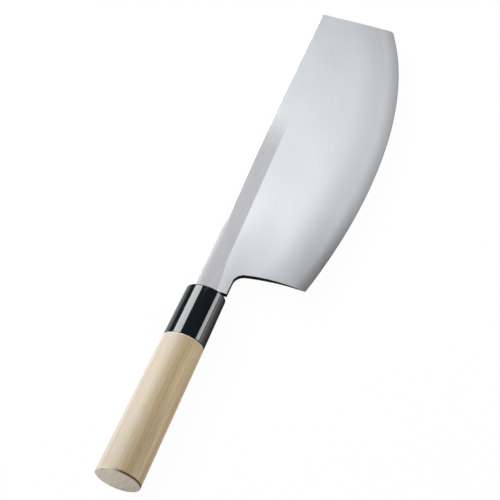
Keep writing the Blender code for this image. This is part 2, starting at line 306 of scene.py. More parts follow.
# %% The corners of the walk
SPINE_POINTS = 130
TIP_MARGIN = 3.0
CHOIL_DROP = 3.3
CHOIL_BOW = 2.1
CHOIL_STEPS = 12

tip_spine = np.array([spine_x(TIP_Y), TIP_Y + spine_x(TIP_Y) * math.tan(TIP_ANGLE)])
spine_line = [(spine_x(y), y) for y in np.linspace(TIP_Y - TIP_MARGIN, SHOULDER_Y, SPINE_POINTS)]
root, end = TANG_ROOT_HEIGHT / 2, TANG_END_HEIGHT / 2
neck_x = spine_x(SHOULDER_Y) + NECK_HEIGHT
tang = ((-root, SHOULDER_Y), (-end, TANG_END_Y), (end, TANG_END_Y), (root, SHOULDER_Y))
tang_corners = np.array(tang)
shoulder = np.array((neck_x, EDGE_SHOULDER_Y))
choil = [np.array((neck_x, HEEL_Y - CHOIL_DROP))]
for i in range(2, CHOIL_STEPS):
    share = i / CHOIL_STEPS
    bow = 4 * CHOIL_BOW * share * (1 - share)
    choil.append(choil[0] * (1 - share) + heel * share + (0, bow))
print(f"the choil is {heel[0] - neck_x:.1f} mm wide")

# %% Walk round the walls of the blade
CHOIL_RADIUS = 7.5
HEEL_RADIUS = 0.8
TIP_EDGE_RADIUS = 2.2
TIP_SPINE_RADIUS = 1.0
TANG_CORNER_RADIUS = 1.75

wall = filed_corner(tip + arrive, tip, tip_spine, TIP_EDGE_RADIUS)
wall += filed_corner(tip, tip_spine, np.array(spine_line[0]), TIP_SPINE_RADIUS)
wall += [*spine_line, tang_corners[0]]
wall += filed_corner(*tang_corners[0:3], TANG_CORNER_RADIUS)
wall += filed_corner(*tang_corners[1:4], TANG_CORNER_RADIUS)
wall += [tang_corners[3], (root, EDGE_SHOULDER_Y), shoulder]
wall += filed_corner(shoulder, choil[0], choil[1], CHOIL_RADIUS)
wall += choil[1:]
wall += filed_corner(choil[-1], heel, heel + leave, HEEL_RADIUS)

# %% Even out the steps of the walls
WALL_STEP = 2.0
EDGE_MARGIN = 0.2


def even_steps(line, longest):
    """Add points so that no step of a line is longer than this."""
    line = np.array(line)
    points = [line[0]]
    for start, stop in zip(line, line[1:]):
        pieces = max(1, math.ceil(np.linalg.norm(stop - start) / longest))
        for i in range(1, pieces + 1):
            points.append(start + (stop - start) * i / pieces)
    return np.array(points)


wall = even_steps(wall, WALL_STEP)
edge_y = edge_curve[:, 1]
on_edge = (edge_y > wall[-1][1] + EDGE_MARGIN) & (edge_y < wall[0][1] - EDGE_MARGIN)
outline = np.vstack([wall, edge_curve[on_edge]])
print(f"outline: {len(wall)} points round the walls and {on_edge.sum()} along the cutting edge")

# %% [markdown]
# ## Fill the plan with triangles
#
# The steel has to bend exactly along its ridge and its weld line, so those lines must be edges of the mesh.
# Blender's constrained Delaunay fill does this: it is given the outline and all the lines that matter, and
# returns triangles that never cross them. Lines beside the walls are added 0.02 to 0.4 mm in, where the rim
# will be rounded, and lines beside the cutting edge where the face bends most.

# %% Lines parallel to the walls
RIM_INSETS = (0.02, 0.04, 0.06, 0.08, 0.4)


def unit(rows):
    """A direction, or each row of directions, brought to length 1."""
    return rows / np.linalg.norm(rows, axis=-1, keepdims=True)


def inward_normals(line):
    """The direction into the steel at each point of the wall, which runs with the steel on its left."""
    step = unit(np.diff(line, axis=0))
    left = np.stack([-step[:, 1], step[:, 0]], axis=1)
    return unit(np.vstack([left[:1], left[:-1] + left[1:], left[-1:]]))


wall_inward = inward_normals(wall)
plan_lines = [wall + wall_inward * inset for inset in RIM_INSETS]

# %% Lines along the blade
STATIONS = (SHOULDER_Y - 1.0, TIP_Y + 4.0, 2.5)
HOLLOW_LINES = 4
SPINE_LINES = (0.7, 1.1, 1.6, 2.2, 3.0, 5.0, 7.5, 10.0)
BARE_SHARES = (0.0, 0.08, 0.2, 0.35, 0.5, 0.66, 0.83, 1.0)
BEFORE_WELD = (1.2, 2.5, 4.0, 6.0, 8.5, 11.0, 14.0, 17.0, 20.0, 24.0, 28.0)

stations = np.arange(*STATIONS)
ridge_line, weld_line = ridge_x(stations), weld_x(stations)
turn_line, bare_line = weld_line - BEFORE_WELD[-1], edge_x(stations) - EDGE_BEVEL
line_places = [spine_x(stations) + out for out in SPINE_LINES]
for i in range(HOLLOW_LINES + 1):
    line_places.append(ridge_line + (turn_line - ridge_line) * i / (HOLLOW_LINES + 1))
line_places += [weld_line - before for before in BEFORE_WELD]
line_places += [between(bare_line, weld_line, share) for share in BARE_SHARES]
plan_lines += [np.stack([x, stations], axis=1) for x in line_places]
print(f"{len(plan_lines)} lines in all, along the blade and beside its walls")

# %% Fill it
MERGE_DISTANCE = 0.002


def fill_plan(border, lines):
    """Triangles inside a border that never cross the given lines, counter-clockwise."""
    points = [Vector(p) for p in border]
    edges = []
    for line in lines:
        first = len(points)
        points += [Vector(p) for p in line]
        edges += [(first + i, first + i + 1) for i in range(len(line) - 1)]
    inside_of = [list(range(len(border)))]
    filled = delaunay_2d_cdt(points, edges, inside_of, 0, MERGE_DISTANCE)
    corners = [tuple(p) for p in filled[0]]
    triangles = [face for face, source in zip(filled[2], filled[5]) if source]
    return np.array(corners), np.array(triangles)


plan, plan_triangles = fill_plan(outline, plan_lines)
print(f"plan: {len(plan)} points and {len(plan_triangles)} triangles")

# %% [markdown]
# ## Rims that have met a file
#
# No smith leaves a raw corner on a spine or a choil: it would cut the hand. So the face bends down over the
# last 0.08 mm beside every wall. A bevel modifier would do this on a plain solid, but here the metal also
# thins to nothing towards the cutting edge, so the drop is worked out from the distance to the wall, and it
# shrinks where there is less metal to file.

# %% Distance from the walls
def nearest_wall(points):
    """Distance from each point to the walls, and the direction into the steel there."""
    start, step = wall[:-1], np.diff(wall, axis=0)
    apart = points[:, None, :] - start[None]
    share = np.clip((apart * step).sum(2) / (step**2).sum(1), 0, 1)
    distance = np.linalg.norm(apart - share[..., None] * step, axis=2)
    best = distance.argmin(1)
    rows = np.arange(len(points))
    blend = share[rows, best][:, None]
    inward = wall_inward[best] * (1 - blend) + wall_inward[best + 1] * blend
    return distance[rows, best], unit(inward)


wall_distance, wall_direction = nearest_wall(plan)

# %% The filed rim
RIM_WIDTH = 0.08
RIM_SHARE = 0.6
LEAST_FALL = 0.02


def rim_drop(height, base, distance):
    """How far the filed rim falls below the face, and how steeply, at a distance from the wall."""
    depth = np.minimum(RIM_WIDTH, RIM_SHARE * np.maximum(height - base, 0))
    near = np.clip(1 - distance / RIM_WIDTH, 0, 1)
    fall = np.sqrt(1 - near**2)
    return depth * (1 - fall), depth * near / (RIM_WIDTH * np.maximum(fall, LEAST_FALL))


print(f"filed rims touch {(wall_distance < RIM_WIDTH).sum()} points of the plan")

# %% [markdown]
# ## Layers of steel
#
# The blade is a sandwich: a hard core between two plates of soft iron, welded under the hammer. The core
# comes out along the edge, where the plates have been ground away. Each layer is the same plan lifted to its
# own top and bottom height, and where the two heights meet, the top and the bottom share their points. The
# shading normals are set from the grind itself, so the long flat faces shade without a ripple.

# %% Normals of the side walls
SIDE_SPLIT = math.cos(math.radians(30))


def border_edges(triangles):
    """The directed edges that only one triangle has: the layer's border."""
    seen = {}
    for a, b, c in triangles.tolist():
        for pair in ((a, b), (b, c), (c, a)):
            seen[pair] = True
    return [pair for pair in seen if (pair[1], pair[0]) not in seen]


def side_normals(border):
    """Outward normals for the side walls, shared between neighbours that hardly turn."""
    outward = {}
    for a, b in border:
        step = plan[b] - plan[a]
        outward[(a, b)] = unit(np.array([step[1], -step[0], 0.0]))
    before = {b: outward[(a, b)] for a, b in border}
    after = {a: outward[(a, b)] for a, b in border}
    shared = {}
    for (a, b), own in outward.items():
        others = (before.get(a, own), after.get(b, own))
        shared[(a, b)] = [unit(own + other) if own @ other > SIDE_SPLIT else own for other in others]
    return shared


# %% Normals of the faces
INWARD_SHARE = 0.05
REACH = 0.002


def face_normals(triangles, drop_slope, covered=None):
    """Normals of the top at every triangle corner, taken from the grind just inside that triangle."""
    corners = plan[triangles]
    middle = corners.mean(axis=1, keepdims=True)
    x, y = (corners + (middle - corners) * INWARD_SHARE).reshape(-1, 2).T
    slope_x = (face_height(x + REACH, y) - face_height(x - REACH, y)) / (2 * REACH)
    slope_y = (face_height(x, y + REACH) - face_height(x, y - REACH)) / (2 * REACH)
    slope = np.stack([slope_x, slope_y], axis=1)
    if covered is not None:
        slope[np.repeat(covered, 3)] = 0
    at = triangles.reshape(-1)
    slope += drop_slope[at][:, None] * wall_direction[at]
    return unit(np.hstack([-slope, np.ones((len(at), 1))]))


# %% Lift the plan into a layer
FACE_FINISH, SIDE_FINISH = 0, 1
CLOSED = 0.004


def build_layer(name, triangles, top, bottom, top_normals, bottom_normals, side):
    """A closed solid from the plan, its top and bottom heights and their normals."""
    used = np.unique(triangles)
    closed = top[used] - bottom[used] < CLOSED
    top_at = {int(v): i for i, v in enumerate(used)}
    points = [(*plan[v], top[v]) for v in used]
    bottom_at = {}
    for v, shut in zip(used.tolist(), closed):
        bottom_at[v] = top_at[v] if shut else len(points)
        if not shut:
            points.append((*plan[v], bottom[v]))
    faces, normals, finishes = [], [], []
    for at, own_normals, order in ((top_at, top_normals, 1), (bottom_at, bottom_normals, -1)):
        for i, triangle in enumerate(triangles.tolist()):
            faces.append(tuple(at[v] for v in triangle[::order]))
            normals += list(own_normals[3 * i : 3 * i + 3][::order])
            finishes.append(FACE_FINISH)
    for (a, b), (normal_a, normal_b) in side_normals(border_edges(triangles)).items():
        loop = [(top_at[b], normal_b), (top_at[a], normal_a)]
        loop += [(bottom_at[a], normal_a), (bottom_at[b], normal_b)]
        kept = [corner for i, corner in enumerate(loop) if corner[0] != loop[i - 1][0]]
        if len(kept) > 2:
            faces.append(tuple(corner[0] for corner in kept))
            normals += [corner[1] for corner in kept]
            finishes.append(SIDE_FINISH)
    return finish_layer(name, points, faces, normals, finishes, side)


# %% Turn a layer into an object
def new_object(name, data):
    """Put a new object into the scene."""
    made = bpy.data.objects.new(name, data)
    bpy.context.scene.collection.objects.link(made)
    return made


def new_piece(name, points, faces):
    """Make a mesh from lists of points and faces, and an object that shows it."""
    mesh = bpy.data.meshes.new(name)
    mesh.from_pydata(points, [], faces)
    print(f"{name}: {len(mesh.vertices)} points, {len(mesh.polygons)} faces")
    return new_object(name, mesh)


def finish_layer(name, points, faces, normals, finishes, side):
    """Turn the lists into an object, mirrored for the left side."""
    points = np.array(points) * MM * (1, 1, side)
    normals = np.array(normals) * (1, 1, side)
    if side < 0:
        turned, at = [], 0
        for face in faces:
            turned.append(normals[at : at + len(face)][::-1])
            at += len(face)
        faces, normals = [face[::-1] for face in faces], np.vstack(turned)
    layer = new_piece(name, points.tolist(), faces)
    layer.data.polygons.foreach_set("material_index", finishes)
    layer.data.polygons.foreach_set("use_smooth", [True] * len(faces))
    layer.data.normals_split_custom_set(normals.tolist())
    return layer


# %% Which triangles belong to which layer
centres = plan[plan_triangles].mean(axis=1)
is_iron = centres[:, 0] < weld_x(centres[:, 1])
iron_triangles = plan_triangles[is_iron]
ground = face_height(plan[:, 0], plan[:, 1])
print(f"{len(iron_triangles)} of {len(plan_triangles)} triangles are covered with soft iron")

# %% Make the two plates of soft iron
iron_drop, iron_slope = rim_drop(ground, WELD_HALF, wall_distance)
iron_top = np.maximum(ground - iron_drop, WELD_HALF)
iron_bottom = np.full(len(plan), WELD_HALF)
iron_normals = face_normals(iron_triangles, iron_slope)
weld_normals = np.tile((0.0, 0.0, -1.0), (len(iron_normals), 1))
iron = (iron_triangles, iron_top, iron_bottom, iron_normals, weld_normals)
right_plate = build_layer("iron_right", *iron, 1)
left_plate = build_layer("iron_left", *iron, -1)

# %% Make the hard core
WELD_MARGIN = 0.01

bare_drop, bare_slope = rim_drop(ground, 0.0, wall_distance)
under_iron = plan[:, 0] < weld_x(plan[:, 1]) - WELD_MARGIN
core_top = np.where(under_iron, CORE_HALF, ground - bare_drop)
core_slope = np.where(under_iron, 0, bare_slope)
core_normals = face_normals(plan_triangles, core_slope, is_iron)
core_below = core_normals * (1, 1, -1)
core = build_layer("core", plan_triangles, core_top, -core_top, core_normals, core_below, 1)

# %% [markdown]
# ## The handle's ovals
#
# The handle, the ferrule and the resin plug are all ovals that change size along the knife. A lathe makes
# round things and a lofted surface makes ovals, so each piece is a row of oval rings with a skin over them.
# Where an edge is eased, several rings follow a quarter circle, and a guard ring just beside it keeps the
# long sides from shading as if they were bent.

# %% Rings and the skin over them
RING_POINTS = 120
SHARP_ANGLE = math.radians(35)
RING_TURN = np.linspace(0, 2 * math.pi, RING_POINTS, endpoint=False)
ACROSS, UP = np.cos(RING_TURN), np.sin(RING_TURN)


def oval(width, thickness, y, inset=0.0):
    """One oval ring across the handle, drawn in by the same distance all round."""
    x, z = (width / 2 - inset) * ACROSS, (thickness / 2 - inset) * UP
    return np.stack([x, np.full(RING_POINTS, y), z], axis=1)


def slot_ring(half_height, half_thickness, y):
    """One rectangular ring, with as many points as an oval, for the slot that holds the tang."""
    reach = 1 / np.maximum(np.abs(ACROSS) / half_height, np.abs(UP) / half_thickness)
    return np.stack([ACROSS * reach, np.full(RING_POINTS, y), UP * reach], axis=1)


def skin(name, rings, closed):
    """Skin a row of rings: a closed tube wall, or a solid with a cap at each end."""
    points = np.vstack(rings) * MM
    faces = []
    pairs = [(i, i + 1) for i in range(len(rings) - 1)]
    if closed:
        pairs.append((len(rings) - 1, 0))
    for pair in pairs:
        near, far = (ring * RING_POINTS for ring in pair)
        for i in range(RING_POINTS):
            j = (i + 1) % RING_POINTS
            faces.append((near + i, far + i, far + j, near + j))
    if not closed:
        last = (len(rings) - 1) * RING_POINTS
        faces.append(tuple(range(RING_POINTS)))
        faces.append(tuple(range(last, last + RING_POINTS))[::-1])
    piece = new_piece(name, points.tolist(), faces)
    piece.data.shade_smooth()
    piece.data.set_sharp_from_angle(angle=SHARP_ANGLE)
    return piece


# %% [markdown]
# ## The wooden handle
#
# The body tapers a little from the butt to the ferrule. Its butt edge is eased by a millimetre so that it
# doesn't dig into the palm, and in front it steps down to the tenon that the ferrule slides on. The slot for
# the tang is burnt into it, so it is there too, though it can't be seen in the finished knife.

# %% Sizes of the wood
BUTT_SIZE = np.array((29.6, 24.3))
JOINT_SIZE = np.array((28.0, 22.4))
TENON_SIZE = np.array((18.0, 13.0))
TENON_END = 139.7
BUTT_EASE = 1.0
FRONT_EASE = 0.2
GUARD = 0.35
BODY_RINGS = np.linspace(6, 98, 12)
SLOT_CLEARANCE = 0.3


def tapered(y):
    """Width and thickness of the wooden body at a place along it."""
    return between(BUTT_SIZE, JOINT_SIZE, y / WOOD_LENGTH)


def slot_size(y):
    """Half height and half thickness of the burnt slot at a place along it."""
    share = (y - TANG_END_Y) / (SHOULDER_Y - TANG_END_Y)
    height = between(TANG_END_HEIGHT, TANG_ROOT_HEIGHT, share)
    thickness = between(TANG_END_THICKNESS, NECK_THICKNESS, share)
    return height / 2 + SLOT_CLEARANCE, thickness / 2 + SLOT_CLEARANCE


# %% Make the wood
def eased_rings(size, y, radius, back, steps=7):
    """Rings that round an edge by a quarter circle, at the back end of a piece or at its front."""
    rings = []
    for i in range(steps + 1):
        turn = math.pi / 2 * i / steps
        inset = radius * (1 - math.sin(turn))
        along = radius * (1 - math.cos(turn))
        rings.append(oval(*size, y + along if back else y - along, inset))
    return rings if back else rings[::-1]


wood_rings = eased_rings(tapered(0), 0, BUTT_EASE, True)
body_places = (BUTT_EASE + GUARD, *BODY_RINGS, WOOD_LENGTH - 2 * GUARD)
wood_rings += [oval(*tapered(y), y) for y in body_places]
wood_rings += eased_rings(tapered(WOOD_LENGTH), WOOD_LENGTH, FRONT_EASE, False, 4)
wood_rings += [oval(*TENON_SIZE, y) for y in (WOOD_LENGTH, TENON_END)]
wood_rings += [slot_ring(*slot_size(y), y) for y in (TENON_END, TANG_END_Y - SLOT_CLEARANCE)]
wood = skin("magnolia_handle", wood_rings, closed=False)

# %% [markdown]
# ## The horn ferrule and the resin plug
#
# The ferrule keeps the wood from splitting when the tang is driven in. It is turned from black buffalo horn,
# tapers on in line with the wood, and has a chamfer round its mouth that the polishing wheel has softened.
# The mouth is closed with resin round the tang, and the resin creeps up a little wherever it touches.

# %% Make the ferrule
GLUE_LINE = 0.05
MOUTH_SIZE = np.array((27.1, 20.6))
MOUTH_CHAMFER = 1.2
FERRULE_EASE = 0.15
FERRULE_RINGS = np.linspace(106, 138, 9)
BORE = TENON_SIZE + 2 * GLUE_LINE
BORE_OUTSETS, BORE_DEPTHS = (0.45, 0.2), (0.2, 0.6)

back = WOOD_LENGTH + GLUE_LINE
chamfer_start = HANDLE_LENGTH - MOUTH_CHAMFER


def ferrule_size(y):
    """Width and thickness of the ferrule at a place along it."""
    return between(JOINT_SIZE, MOUTH_SIZE, (y - WOOD_LENGTH) / (chamfer_start - WOOD_LENGTH))


horn_rings = [oval(*BORE, back)]
horn_rings += eased_rings(ferrule_size(back), back, FERRULE_EASE, True, 3)
horn_places = (back + 2 * GUARD, *FERRULE_RINGS, chamfer_start - GUARD)
horn_rings += [oval(*ferrule_size(y), y) for y in horn_places]
horn_rings += eased_rings(MOUTH_SIZE, HANDLE_LENGTH, MOUTH_CHAMFER, False, 8)
horn_rings += [oval(*BORE, HANDLE_LENGTH, -outset) for outset in BORE_OUTSETS]
horn_rings += [oval(*BORE, HANDLE_LENGTH - depth) for depth in BORE_DEPTHS]
ferrule = skin("horn_ferrule", horn_rings, closed=True)

# %% Make the plug
PLUG_FRONT = 142.7
CREEP = 0.22
CREEP_ON_BORE = ((0.12, 0.10), (0.3, 0.03), (0.6, 0.0), (1.2, 0.0))
CREEP_ON_TANG = ((0.8, 0.0), (0.3, 0.03), (0.1, 0.10), (0.0, CREEP))

plug_back = TENON_END + GLUE_LINE
plug_rings = [slot_ring(*slot_size(TENON_END), plug_back)]
plug_rings += [oval(*TENON_SIZE, y) for y in (plug_back, PLUG_FRONT + CREEP)]
for inset, rise in CREEP_ON_BORE:
    plug_rings.append(oval(*TENON_SIZE, PLUG_FRONT + rise, inset))
for outset, rise in CREEP_ON_TANG:
    half_sizes = [half + outset for half in slot_size(SHOULDER_Y)]
    plug_rings.append(slot_ring(*half_sizes, PLUG_FRONT + rise))
plug = skin("resin_plug", plug_rings, closed=True)

# %% [markdown]
# ## A few words for making materials
#
# A material in Blender is a graph of small nodes. Writing the graph in code gets long, so these helpers each
# do one job that a finisher would name: lay streaks of a certain length and width, change a grey value from
# one place to another, or mix two colours. Sizes and places are millimetres of the object's own coordinates,
# so a streak that is 20 long here is 20 mm long on the knife.

# %% Add a node and read a place
def add(tree, kind, inputs=(), **options):
    """Add a node, set its options, and fill its sockets with values or with other nodes' outputs."""
    made = tree.nodes.new("ShaderNode" + kind)
    for option, value in options.items():
        setattr(made, option, value)
    for socket, value in dict(inputs).items():
        if isinstance(value, bpy.types.NodeSocket):
            tree.links.new(value, made.inputs[socket])
        else:
            made.inputs[socket].default_value = value
    return made.outputs


def place_in(tree, kind="Object"):
    """Three grey values, X, Y and Z: a place on an object in metres, or a direction in the room."""
    return add(tree, "SeparateXYZ", {0: add(tree, "TexCoord")[kind]})


# %% Grey values
NOISE_RANGE = (0.3, 0.7)


def total(tree, first, *others, operation="ADD"):
    """Add up grey values, or join them one after the other by another operation."""
    for other in others:
        first = add(tree, "Math", {0: first, 1: other}, operation=operation)[0]
    return first


def product(tree, *values):
    """Multiply grey values."""
    return total(tree, *values, operation="MULTIPLY")


def span(tree, value, low, high, start=0.0, stop=1.0, smooth=False):
    """Carry a grey value from one range to another, held at both ends."""
    inputs = {0: value, 1: low, 2: high, 3: start, 4: stop}
    return add(tree, "MapRange", inputs, interpolation_type="SMOOTHSTEP" if smooth else "LINEAR")["Result"]


def by_place(tree, axis, low, high, start=0.0, stop=1.0, smooth=False):
    """A grey value that goes from start to stop between two places along an axis, in millimetres."""
    return span(tree, place_in(tree)[axis], low * MM, high * MM, start, stop, smooth)


def band(tree, axis, rise, fall):
    """A grey value that rises from 0 to 1 between two places and falls back to 0 between two others."""
    return product(tree, by_place(tree, axis, *rise), by_place(tree, axis, *fall, 1, 0))


def streaks(tree, size, detail=3.0, turn=0.0, lean=0.0):
    """A grey pattern with spots of this size in millimetres, turned about Z and leant about Y in degrees."""
    inputs = {
        "Vector": add(tree, "TexCoord")["Object"],
        "Rotation": (0, math.radians(lean), math.radians(turn)),
        "Scale": [length * MM for length in size],
    }
    sized = add(tree, "Mapping", inputs, vector_type="TEXTURE")["Vector"]
    return add(tree, "TexNoise", {"Vector": sized, "Scale": 1.0, "Detail": detail, "Roughness": 0.55})["Fac"]


def toned(tree, pattern, start=0.0, stop=1.0):
    """Carry a pattern, most of which lies between 0.3 and 0.7, to a range of its own."""
    return span(tree, pattern, *NOISE_RANGE, start, stop)


# %% Colours
def mix_colours(tree, share, first, second, blend="MIX"):
    """Mix two colours by a share from 0 to 1."""
    made = add(tree, "Mix", {"Factor": share}, data_type="RGBA", blend_type=blend)
    node = tree.nodes[-1]
    for socket, value in ((node.inputs[6], first), (node.inputs[7], second)):
        if isinstance(value, bpy.types.NodeSocket):
            tree.links.new(value, socket)
        else:
            socket.default_value = (*value, 1.0)
    return made[2]


def ramp(tree, value, stops):
    """Colours at places along a grey value, blended between them."""
    made = add(tree, "ValToRGB", {"Fac": value})
    line = tree.nodes[-1].color_ramp
    while len(line.elements) < len(stops):
        line.elements.new(0.5)
    for element, (place, colour) in zip(line.elements, stops):
        element.position = place
        element.color = (*colour, 1.0)
    return made["Color"]


# %% A new material and its finish
def new_material(name, **sockets):
    """A material with one Principled shader, whose constant sockets are set here."""
    material = bpy.data.materials.new(name)
    material.use_nodes = True
    shader = material.node_tree.nodes["Principled BSDF"]
    for socket, value in sockets.items():
        shader.inputs[socket].default_value = value
    return material, material.node_tree, shader.inputs


def give_finish(tree, shader, colour, roughness, relief, depth):
    """Give a shader its colour, its roughness and a relief that is this many millimetres deep."""
    inputs = {"Height": relief, "Distance": depth * MM, "Strength": 1.0}
    tree.links.new(colour, shader["Base Color"])
    tree.links.new(roughness, shader["Roughness"])
    tree.links.new(add(tree, "Bump", inputs)["Normal"], shader["Normal"])
    print(f"a material of {len(tree.nodes)} nodes, with a relief of {depth} mm")


# %% [markdown]
# ## The ground faces
#
# The wide face was ground across and then rubbed on stones, so it is satin: fine hairlines that lie a little
# askew, and long soft clouds where the hand pressed more. It is a little smoother near the neck, and painted
# darker by the neck and by the heel, which is painted shade. The flat beside the spine was polished
# lengthwise and is smoother still. Further out the two finishes run into each other. One material does both,
# and a mask worked out from the ridge line tells it which. No roughness here is below 0.27: the denoiser
# takes smoother steel for a mirror and leaves specks in it, so the darker room that the polish would mirror
# is painted into its colour as shade, darkest at the heel and beside the spine at the neck.

# %% A mask for the polished flat
RIDGE_BLUR = 0.3


def flat_mask(tree):
    """1 on the flat beside the spine, 0 on the ground face, fading out towards the blunt end."""
    rise = by_place(tree, "Y", HEEL_Y, HEEL_Y + SPINE_RISE_END, 0, SPINE_RISE * MM, smooth=True)
    flare_end = HANDLE_LENGTH + FLAT_FLARE_LENGTH
    flare = by_place(tree, "Y", HANDLE_LENGTH, flare_end, FLAT_FLARE * MM, 0, smooth=True)
    bend = total(tree, flare, rise, operation="SUBTRACT")
    ridge = total(tree, bend, (FLAT_WIDTH - NECK_BACK) * MM)
    past_ridge = total(tree, place_in(tree)["X"], ridge, operation="SUBTRACT")
    beside = span(tree, past_ridge, -RIDGE_BLUR * MM, RIDGE_BLUR * MM, 1, 0)
    fade = by_place(tree, "Y", RIDGE_FADE_START, RIDGE_FADE_END, 1, 0, smooth=True)
    return product(tree, beside, fade)


# %% Streaks and places on the ground faces
SATIN_TURN = 20.7
POLISH_TURN = -9.0

satin, tree, shader = new_material("satin_iron", Metallic=1.0)
flat = flat_mask(tree)
hairs = streaks(tree, (0.3, 16, 10), 3.0, SATIN_TURN)
brushed = streaks(tree, (1.4, 45, 20), 3.0, SATIN_TURN)
clouds = streaks(tree, (22, 50, 50), 2.0, SATIN_TURN)
polish = streaks(tree, (0.9, 18, 10), 3.0, POLISH_TURN)
thirds = [toned(tree, pattern, -0.5, 0.5) for pattern in (hairs, brushed, clouds)]
tone = span(tree, total(tree, *thirds), -1.5, 1.5)

by_neck = by_place(tree, "Y", 150, 230, 1, 0, smooth=True)
# Painted shade on the polished flat beside the spine at the neck.
spine_shade = by_place(tree, "X", -8.5, 2, -0.17, 0)
off_ridge = by_place(tree, "X", 3, 10, 0.3, 1)
inner_face = by_place(tree, "X", 14, 40, 1, 0, smooth=True)
# Painted shade: the face is made darker beside the root of the neck and towards the heel.
painted_shade_by_root = product(tree, off_ridge, inner_face, by_neck)
painted_shade_by_heel = product(tree, by_place(tree, "X", 46, 53), by_place(tree, "Y", 165, 235, 1, 0))

# %% Satin iron
SATIN_DARK, SATIN_PALE = (0.745, 0.775, 0.80), (0.805, 0.835, 0.86)
# SATIN_SHADED is the colour of the painted shade on the ground face.
SATIN_SHADED = (0.63, 0.65, 0.67)
# Polished colours, darker than the satin and darkest at the heel: painted shade for the darker room a
# smoother polish would mirror.
POLISH_AND_SHADE_AT_HEEL, POLISH_AND_SHADE_FURTHER = (0.487, 0.487, 0.503), (0.583, 0.583, 0.597)
SATIN_ROUGH = (0.318, 0.352)
SMOOTHER_BY_NECK = -0.042
POLISH_ROUGH = (0.279, 0.286)
STEEL_RELIEF = 0.0015

satin_and_shade_colour = mix_colours(tree, tone, SATIN_DARK, SATIN_PALE)
# Mix the painted shade into the satin colour.
satin_and_shade_colour = mix_colours(tree, total(tree, painted_shade_by_root, painted_shade_by_heel), satin_and_shade_colour, SATIN_SHADED)
shade = product(tree, by_neck, spine_shade)
# Polish streaks with the painted shade of the flat, darkest at the heel and beside the spine at the neck.
polish_streaks_and_shade = total(tree, toned(tree, polish, 0.94, 1.06), shade)
polish_and_shade_colour = mix_colours(tree, by_place(tree, "Y", 165, 265), POLISH_AND_SHADE_AT_HEEL, POLISH_AND_SHADE_FURTHER)
polish_and_shade_colour = mix_colours(tree, 1.0, polish_and_shade_colour, polish_streaks_and_shade, "MULTIPLY")
colour = mix_colours(tree, flat, satin_and_shade_colour, polish_and_shade_colour)

smoother = product(tree, by_neck, SMOOTHER_BY_NECK)
satin_rough = total(tree, span(tree, tone, 0.2, 0.8, *SATIN_ROUGH), smoother)
rough = add(tree, "Mix", {0: flat, 2: satin_rough, 3: toned(tree, polish, *POLISH_ROUGH)})[0]
lines = add(tree, "Mix", {0: flat, 2: hairs, 3: span(tree, polish, 0, 1, 0.4, 0.6)})[0]
give_finish(tree, shader, colour, rough, lines, STEEL_RELIEF)

# %% [markdown]
# ## The hard edge and the sides
#
# The bare core along the edge is harder, so the stones leave it a little cleaner. Near the heel it is painted
# darker and warmer, which is painted shade, and it gets rougher further out. The walls round the neck and the
# choil are painted nearly black, as painted shade for the knife's shadow on the table that they would mirror,
# while the spine and the blunt end are filed bright across.

# %% Hard steel
HARD_DARK, HARD_PALE = (0.75, 0.76, 0.775), (0.81, 0.82, 0.835)
# The colour of the painted shade on the bare edge near the heel.
HARD_SHADED_BY_HEEL = (0.66, 0.655, 0.625)
HARD_ROUGH = (0.29, 0.34)
ROUGHER_FURTHER = (-0.01, 0.085)

hard, tree, shader = new_material("hard_edge", Metallic=1.0)
hairs = streaks(tree, (0.3, 12, 10), 3.0, SATIN_TURN)
haze = streaks(tree, (4, 30, 20), 3.0, SATIN_TURN)
colour = mix_colours(tree, haze, HARD_DARK, HARD_PALE)
# Painted shade: the bare edge is darker and warmer towards the heel.
colour = mix_colours(tree, by_place(tree, "Y", 165, 245, 1, 0), colour, HARD_SHADED_BY_HEEL)
rougher = by_place(tree, "Y", 185, 265, *ROUGHER_FURTHER, smooth=True)
rough = total(tree, toned(tree, hairs, *HARD_ROUGH), rougher)
give_finish(tree, shader, colour, rough, hairs, STEEL_RELIEF)

# %% Filed sides
# Nearly black colours for the painted shade on the walls round the neck and the choil.
SHADED_WALL_DARK, SHADED_WALL_PALE = (0.016, 0.016, 0.018), (0.040, 0.040, 0.043)
FILED_DARK, FILED_PALE = (0.42, 0.42, 0.43), (0.56, 0.56, 0.57)
FILED_ROUGH = (0.34, 0.5)
FILED_RELIEF = 0.02

filed, tree, shader = new_material("filed_side", Metallic=1.0)
file_marks = streaks(tree, (0.6, 0.6, 4), 4.0)
blotches = streaks(tree, (5, 5, 5), 3.0)
# Painted shade: the walls round the neck and the choil are made nearly black, where they would mirror the
# knife's shadow on the table.
painted_wall_shade = product(tree, by_place(tree, "X", -6, 2), by_place(tree, "Y", 180, 200, 1, 0))
shaded_wall_colour = mix_colours(tree, blotches, SHADED_WALL_DARK, SHADED_WALL_PALE)
filed_colour = mix_colours(tree, blotches, FILED_DARK, FILED_PALE)
colour = mix_colours(tree, painted_wall_shade, filed_colour, shaded_wall_colour)
give_finish(tree, shader, colour, toned(tree, file_marks, *FILED_ROUGH), file_marks, FILED_RELIEF)

# %% [markdown]
# ## Magnolia wood
#
# Magnolia is a quiet wood: straight, fine, almost without figure. Here it is chalky and cream on the spine's
# side and runs into brown heartwood, with a honey and olive rim, towards the edge's side. Growth rings are
# sheets that run the length of the handle, so they show as long lines on its side and as short arcs on the
# butt. The same node graph gives both, because it works through the whole thickness of the wood and not only
# on its skin. Short pores lie along the fibres, and the wood is a little darker towards the butt. A painted
# highlight lies on the butt's rim on the spine's side and on the last millimetre before the ferrule, and a
# dark line runs along the butt's rim on the edge's side.

